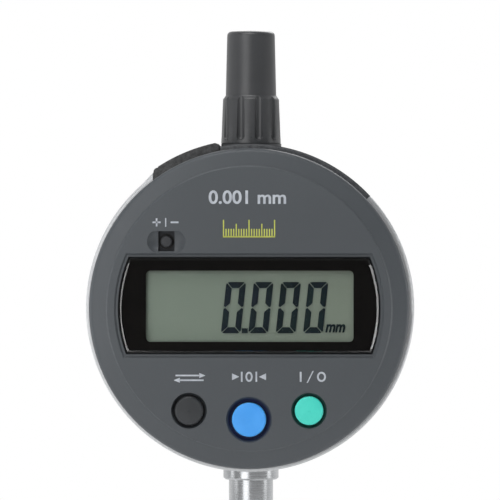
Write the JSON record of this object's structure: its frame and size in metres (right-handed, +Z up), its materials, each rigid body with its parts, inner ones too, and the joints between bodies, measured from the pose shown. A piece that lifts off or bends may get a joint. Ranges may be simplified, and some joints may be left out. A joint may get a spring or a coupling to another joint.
{
  "type": "digital dial indicator",
  "caption": "Round digital dial indicator: spring-loaded spindle in a clamping stem, liquid crystal display, push keys, fluted spindle cap and rear lug.",
  "frame": {"origin": "on the stem's axis, at the middle of the length that a clamp grips", "axes": "+Z up the spindle towards the cap, -Y out of the display face, +X to the right as the display is read"},
  "size_m": [0.059, 0.0364, 0.1192],
  "materials": {
    "front_case": "fine satin grain",
    "window": "polished, black border printed on the inside",
    "window_tape": "adhesive tape",
    "display_glass": "grey-green liquid crystal cell",
    "display_holder": "moulded",
    "zebra_strips": "striped silicone",
    "main_board": "solder mask",
    "board_chips": "moulded epoxy",
    "board_screws": "zinc plated",
    "key_sign": "matt",
    "key_unit": "satin",
    "key_zero": "satin",
    "key_power": "satin",
    "key_mat": "matt silicone",
    "sign_dome": "matt silicone",
    "main_frame": "satin silver paint on die casting",
    "head_block": "fine satin grain",
    "case_screws": "zinc plated",
    "rear_cover": "satin, machined lug",
    "rear_cover_screws": "zinc plated",
    "battery_drawer": "satin black",
    "button_cell": "nickel plated",
    "cell_contact_plus": "gold-flashed spring strip",
    "cell_contact_minus": "gold-flashed spring strip",
    "port_socket": "moulded",
    "port_pins": "gold flash",
    "port_cover": "fine satin grain",
    "spindle_cap": "satin, fluted skirt",
    "upper_bush": "turned",
    "stem": "ground",
    "stem_nut": "zinc plated",
    "stem_bushes": "bronze, bored",
    "stem_wiper": "moulded",
    "stop_cushion": "moulded",
    "spindle": "hard, ground",
    "scale_carrier": "milled",
    "carrier_screw": "zinc plated",
    "scale_glass": "chromed glass scale",
    "guide_pin": "ground",
    "guide_rail": "milled",
    "rail_screws": "zinc plated",
    "return_spring": "drawn wire",
    "read_head": "solder mask",
    "read_head_screws": "zinc plated",
    "ribbon_cable": "polyimide film",
    "contact_point": "turned",
    "contact_ball": "polished carbide"
  },
  "bodies": {
    "case": {"front_case": "front_case", "window": "window", "window_tape": "window_tape", "display_glass": "display_glass", "display_holder": "display_holder", "zebra_strips": "zebra_strips", "main_board": "main_board", "board_chips": "board_chips", "board_screws": "board_screws", "key_mat": "key_mat", "sign_dome": "sign_dome", "main_frame": "main_frame", "head_block": "head_block", "case_screws": "case_screws", "rear_cover": "rear_cover", "rear_cover_screws": "rear_cover_screws", "cell_contact_plus": "cell_contact_plus", "cell_contact_minus": "cell_contact_minus", "port_socket": "port_socket", "port_pins": "port_pins", "upper_bush": "upper_bush", "stem": "stem", "stem_nut": "stem_nut", "stem_bushes": "stem_bushes", "stem_wiper": "stem_wiper", "stop_cushion": "stop_cushion", "guide_rail": "guide_rail", "rail_screws": "rail_screws", "return_spring": "return_spring", "read_head": "read_head", "read_head_screws": "read_head_screws", "ribbon_cable": "ribbon_cable"},
    "plunger": {"spindle": "spindle", "scale_carrier": "scale_carrier", "carrier_screw": "carrier_screw", "scale_glass": "scale_glass", "guide_pin": "guide_pin", "contact_point": "contact_point", "contact_ball": "contact_ball"},
    "sign_button": {"key_sign": "key_sign"},
    "unit_button": {"key_unit": "key_unit"},
    "zero_button": {"key_zero": "key_zero"},
    "power_button": {"key_power": "key_power"},
    "battery_tray": {"battery_drawer": "battery_drawer", "button_cell": "button_cell"},
    "cap": {"spindle_cap": "spindle_cap"},
    "port_lid": {"port_cover": "port_cover"}
  },
  "joints": [
    {"name": "spindle_slide", "type": "slide", "parent": "case", "child": "plunger", "axis": [0, 0, 1], "range_m": [0, 0.0127], "stiffness_N_per_m": 30, "springref_m": -0.025, "deforming": ["return_spring"]},
    {"name": "sign_press", "type": "slide", "parent": "case", "child": "sign_button", "axis": [0, 1, 0], "range_m": [0, 0.0005], "stiffness_N_per_m": 1500, "springref_m": -0.0004, "deforming": ["sign_dome"]},
    {"name": "unit_press", "type": "slide", "parent": "case", "child": "unit_button", "axis": [0, 1, 0], "range_m": [0, 0.0005], "stiffness_N_per_m": 1500, "springref_m": -0.0004, "deforming": ["key_mat"]},
    {"name": "zero_press", "type": "slide", "parent": "case", "child": "zero_button", "axis": [0, 1, 0], "range_m": [0, 0.0005], "stiffness_N_per_m": 1500, "springref_m": -0.0004, "deforming": ["key_mat"]},
    {"name": "power_press", "type": "slide", "parent": "case", "child": "power_button", "axis": [0, 1, 0], "range_m": [0, 0.0005], "stiffness_N_per_m": 1500, "springref_m": -0.0004, "deforming": ["key_mat"]},
    {"name": "battery_pull", "type": "slide", "parent": "case", "child": "battery_tray", "axis": [0, 0, 1], "range_m": [0, 0.02]},
    {"name": "cap_lift", "type": "slide", "parent": "case", "child": "cap", "axis": [0, 0, 1], "range_m": [0, 0.012]},
    {"name": "port_lid_pull", "type": "slide", "parent": "case", "child": "port_lid", "axis": [0.4695, 0, 0.8829], "range_m": [0, 0.006]}
  ]
}
